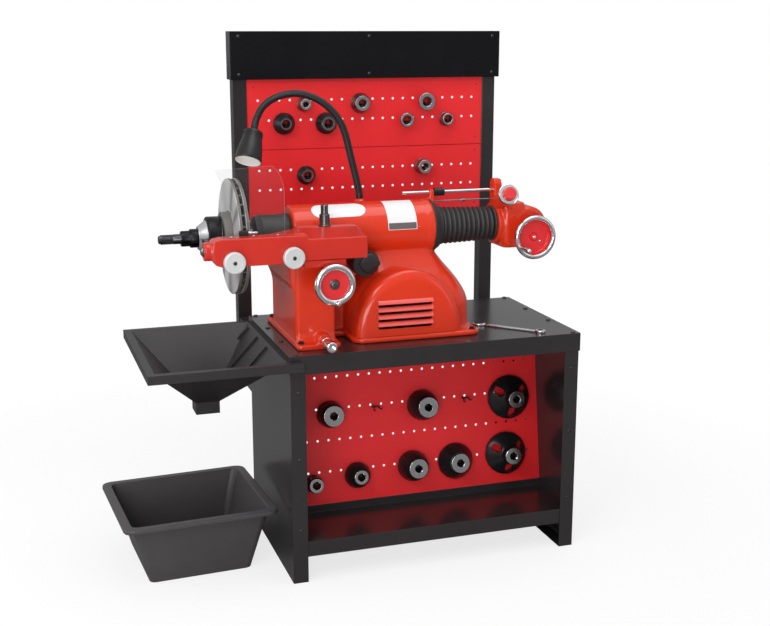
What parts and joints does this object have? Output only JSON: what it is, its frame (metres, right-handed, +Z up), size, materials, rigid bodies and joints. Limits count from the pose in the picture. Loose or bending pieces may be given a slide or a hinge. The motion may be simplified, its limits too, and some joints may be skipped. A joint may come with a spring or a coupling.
{
  "type": "brake lathe on a bench",
  "caption": "Brake disc and drum lathe on a steel bench with peg boards for its adapters, a blank header, a gooseneck lamp, a chip funnel and a chip bin.",
  "frame": {"origin": "bottom centre of the whole object, on the floor", "axes": "+X to the right along the spindle, +Y to the back, +Z up"},
  "size_m": [1.5514, 0.854, 1.74],
  "materials": {
    "black_paint": "glossy black paint on sheet steel",
    "board_red": "satin red paint on sheet steel",
    "cast_red": "glossy orange-red paint on castings",
    "black_iron": "black oxide with bright turned ends",
    "motor_steel": "dark painted motor",
    "steel": "bright turned steel",
    "belt_rubber": "black rubber",
    "chrome": "bright chrome",
    "dark_steel": "black oxide steel",
    "disc_iron": "bright machined cast iron",
    "clear_guard": "clear plastic sheet",
    "lamp_black": "black",
    "bulb": "white bulb",
    "black_plastic": "moulded black plastic with a fine grain"
  },
  "bodies": {
    "bench": {"table_top": "black_paint", "side_panel_left": "black_paint", "side_panel_right": "black_paint", "shelf_tray": "black_paint", "lower_peg_board": "board_red", "frame_post_left": "black_paint", "frame_post_right": "black_paint", "header_box": "black_paint", "upper_peg_board": "board_red", "middle_peg_board": "board_red", "base_casting": "cast_red", "motor_cover": "cast_red", "motor_stator": "motor_steel", "drive_belt": "belt_rubber", "bellows": "belt_rubber", "guide_rod": "steel"},
    "quill": {"quill_tube": "steel", "nose_boot": "belt_rubber", "feed_box": "cast_red"},
    "spindle": {"spindle_shaft": "chrome", "arbor_nut": "dark_steel", "arbor_cone": "chrome", "arbor_cup": "black_iron", "brake_disc": "disc_iron", "arbor_collar": "dark_steel"},
    "belt_pulley": {"spindle_pulley": "steel"},
    "motor_rotor": {"motor_shaft": "steel"},
    "feed_wheel": {"feed_handwheel": "chrome"},
    "feed_grip": {"feed_wheel_grip": "chrome"},
    "feed_selector": {"feed_knob": "chrome"},
    "stop": {"stop_rod": "chrome", "stop_block": "dark_steel"},
    "carriage": {"cross_slide": "steel", "cutter_body": "cast_red", "chip_guard": "clear_guard"},
    "cross_wheel": {"cross_handwheel": "chrome", "cross_screw": "steel"},
    "cross_grip": {"cross_wheel_grip": "chrome"},
    "left_dial": {"dial_left": "chrome"},
    "right_dial": {"dial_right": "chrome"},
    "left_bar": {"tool_bar_left": "dark_steel"},
    "right_bar": {"tool_bar_right": "dark_steel"},
    "bar_lock": {"end_knob": "steel"},
    "clamp": {"clamp_nut": "dark_steel"},
    "switch": {"switch_knob": "lamp_black"},
    "plunger": {"base_plunger": "chrome"},
    "lamp": {"lamp_arm": "lamp_black", "lamp_head": "lamp_black", "lamp_bulb": "bulb"},
    "funnel": {"chip_funnel": "black_plastic"},
    "bin": {"chip_bin": "black_plastic"},
    "loose_spanner": {"spanner": "chrome"},
    "adapter_cup_1_body": {"adapter_cup_1": "black_iron"},
    "adapter_cup_2_body": {"adapter_cup_2": "black_iron"},
    "adapter_bell_1_body": {"adapter_bell_1": "black_iron"},
    "adapter_cup_3_body": {"adapter_cup_3": "black_iron"},
    "adapter_cup_4_body": {"adapter_cup_4": "black_iron"},
    "adapter_cup_5_body": {"adapter_cup_5": "black_iron"},
    "adapter_cone_1_body": {"adapter_cone_1": "black_iron"},
    "adapter_bell_2_body": {"adapter_bell_2": "black_iron"}
  },
  "joints": [
    {"name": "quill_feed", "type": "slide", "parent": "bench", "child": "quill", "axis": [1, 0, 0], "range_m": [-0.07, 0], "deforming": ["bellows"]},
    {"name": "spindle_spin", "type": "hinge", "parent": "quill", "child": "spindle", "pos_m": [-0.33827, -0.095, 1.097], "axis": [1, 0, 0], "continuous": true},
    {"name": "belt_pulley_spin", "type": "hinge", "parent": "bench", "child": "belt_pulley", "pos_m": [0.17073, -0.095, 1.097], "axis": [1, 0, 0], "continuous": true},
    {"name": "motor_spin", "type": "hinge", "parent": "bench", "child": "motor_rotor", "pos_m": [0.26573, -0.095, 0.87], "axis": [1, 0, 0], "continuous": true},
    {"name": "feed_wheel_turn", "type": "hinge", "parent": "quill", "child": "feed_wheel", "pos_m": [0.66273, -0.235, 1.063], "axis": [0, -1, 0], "continuous": true},
    {"name": "feed_grip_spin", "type": "hinge", "parent": "feed_wheel", "child": "feed_grip", "pos_m": [0.60445, -0.245, 1.03203], "axis": [0, -1, 0], "continuous": true},
    {"name": "feed_selector_turn", "type": "hinge", "parent": "quill", "child": "feed_selector", "pos_m": [0.57173, -0.207, 1.206], "axis": [0, -0.9136, 0.4067], "range_deg": [0, 270]},
    {"name": "stop_slide", "type": "slide", "parent": "bench", "child": "stop", "axis": [1, 0, 0], "range_m": [0, 0.04]},
    {"name": "cross_feed", "type": "slide", "parent": "bench", "child": "carriage", "axis": [0, 1, 0], "range_m": [-0.11, 0]},
    {"name": "cross_wheel_turn", "type": "hinge", "parent": "carriage", "child": "cross_wheel", "pos_m": [-0.08227, -0.385, 0.977], "axis": [0, -1, 0], "continuous": true},
    {"name": "cross_grip_spin", "type": "hinge", "parent": "cross_wheel", "child": "cross_grip", "pos_m": [-0.07836, -0.397, 0.92189], "axis": [0, -1, 0], "continuous": true},
    {"name": "left_dial_turn", "type": "hinge", "parent": "carriage", "child": "left_dial", "pos_m": [-0.39227, -0.357, 1.062], "axis": [0, -1, 0], "range_deg": [-180, 180]},
    {"name": "left_bar_slide", "type": "slide", "parent": "carriage", "child": "left_bar", "axis": [1, 0, 0], "range_m": [-0.003, 0.003]},
    {"name": "right_dial_turn", "type": "hinge", "parent": "carriage", "child": "right_dial", "pos_m": [-0.20827, -0.357, 1.067], "axis": [0, -1, 0], "range_deg": [-180, 180]},
    {"name": "right_bar_slide", "type": "slide", "parent": "carriage", "child": "right_bar", "axis": [1, 0, 0], "range_m": [-0.003, 0.003]},
    {"name": "bar_lock_turn", "type": "hinge", "parent": "carriage", "child": "bar_lock", "pos_m": [-0.47827, -0.326, 1.093], "axis": [1, 0, 0], "range_deg": [-180, 180]},
    {"name": "clamp_turn", "type": "hinge", "parent": "carriage", "child": "clamp", "pos_m": [-0.06927, -0.223, 1.137], "axis": [0, 0, 1], "range_deg": [0, 180]},
    {"name": "switch_turn", "type": "hinge", "parent": "bench", "child": "switch", "pos_m": [0.08073, -0.203, 1.006], "axis": [0, -1, 0], "range_deg": [-90, 90]},
    {"name": "plunger_turn", "type": "hinge", "parent": "bench", "child": "plunger", "pos_m": [-0.10427, -0.335, 0.788], "axis": [0, -1, 0], "range_deg": [-90, 90]},
    {"name": "lamp_swivel", "type": "hinge", "parent": "bench", "child": "lamp", "pos_m": [0.09973, -0.05, 1.196], "axis": [0, 0, 1], "range_deg": [-45, 15]},
    {"name": "funnel_lift", "type": "slide", "parent": "bench", "child": "funnel", "axis": [0, 0, 1], "range_m": [0, 0.12]},
    {"name": "bin_slide", "type": "slide", "parent": "bench", "child": "bin", "axis": [1, 0, 0], "range_m": [-0.12, 0]},
    {"name": "spanner_lift", "type": "slide", "parent": "bench", "child": "loose_spanner", "axis": [0, 0, 1], "range_m": [0, 0.12]},
    {"name": "adapter_cup_1_pull", "type": "slide", "parent": "bench", "child": "adapter_cup_1_body", "axis": [0, -0.9891, 0.1475], "range_m": [0, 0.1]},
    {"name": "adapter_cup_2_pull", "type": "slide", "parent": "bench", "child": "adapter_cup_2_body", "axis": [0, -0.9891, 0.1475], "range_m": [0, 0.1]},
    {"name": "adapter_bell_1_pull", "type": "slide", "parent": "bench", "child": "adapter_bell_1_body", "axis": [0, -0.9891, 0.1475], "range_m": [0, 0.1]},
    {"name": "adapter_cup_3_pull", "type": "slide", "parent": "bench", "child": "adapter_cup_3_body", "axis": [0, -0.9891, 0.1475], "range_m": [0, 0.1]},
    {"name": "adapter_cup_4_pull", "type": "slide", "parent": "bench", "child": "adapter_cup_4_body", "axis": [0, -0.9891, 0.1475], "range_m": [0, 0.1]},
    {"name": "adapter_cup_5_pull", "type": "slide", "parent": "bench", "child": "adapter_cup_5_body", "axis": [0, -0.9891, 0.1475], "range_m": [0, 0.1]},
    {"name": "adapter_cone_1_pull", "type": "slide", "parent": "bench", "child": "adapter_cone_1_body", "axis": [0, -0.9891, 0.1475], "range_m": [0, 0.1]},
    {"name": "adapter_bell_2_pull", "type": "slide", "parent": "bench", "child": "adapter_bell_2_body", "axis": [0, -0.9891, 0.1475], "range_m": [0, 0.1]}
  ],
  "couplings": [
    {"joint": "belt_pulley_spin", "follows": "spindle_spin", "ratio": 1},
    {"joint": "motor_spin", "follows": "spindle_spin", "ratio": 1.68},
    {"joint": "feed_wheel_turn", "follows": "quill_feed", "rad_per_m": -179.52},
    {"joint": "cross_wheel_turn", "follows": "cross_feed", "rad_per_m": -314.16},
    {"joint": "left_bar_slide", "follows": "left_dial_turn", "m_per_rad": 0.00095493},
    {"joint": "right_bar_slide", "follows": "right_dial_turn", "m_per_rad": -0.00095493}
  ]
}
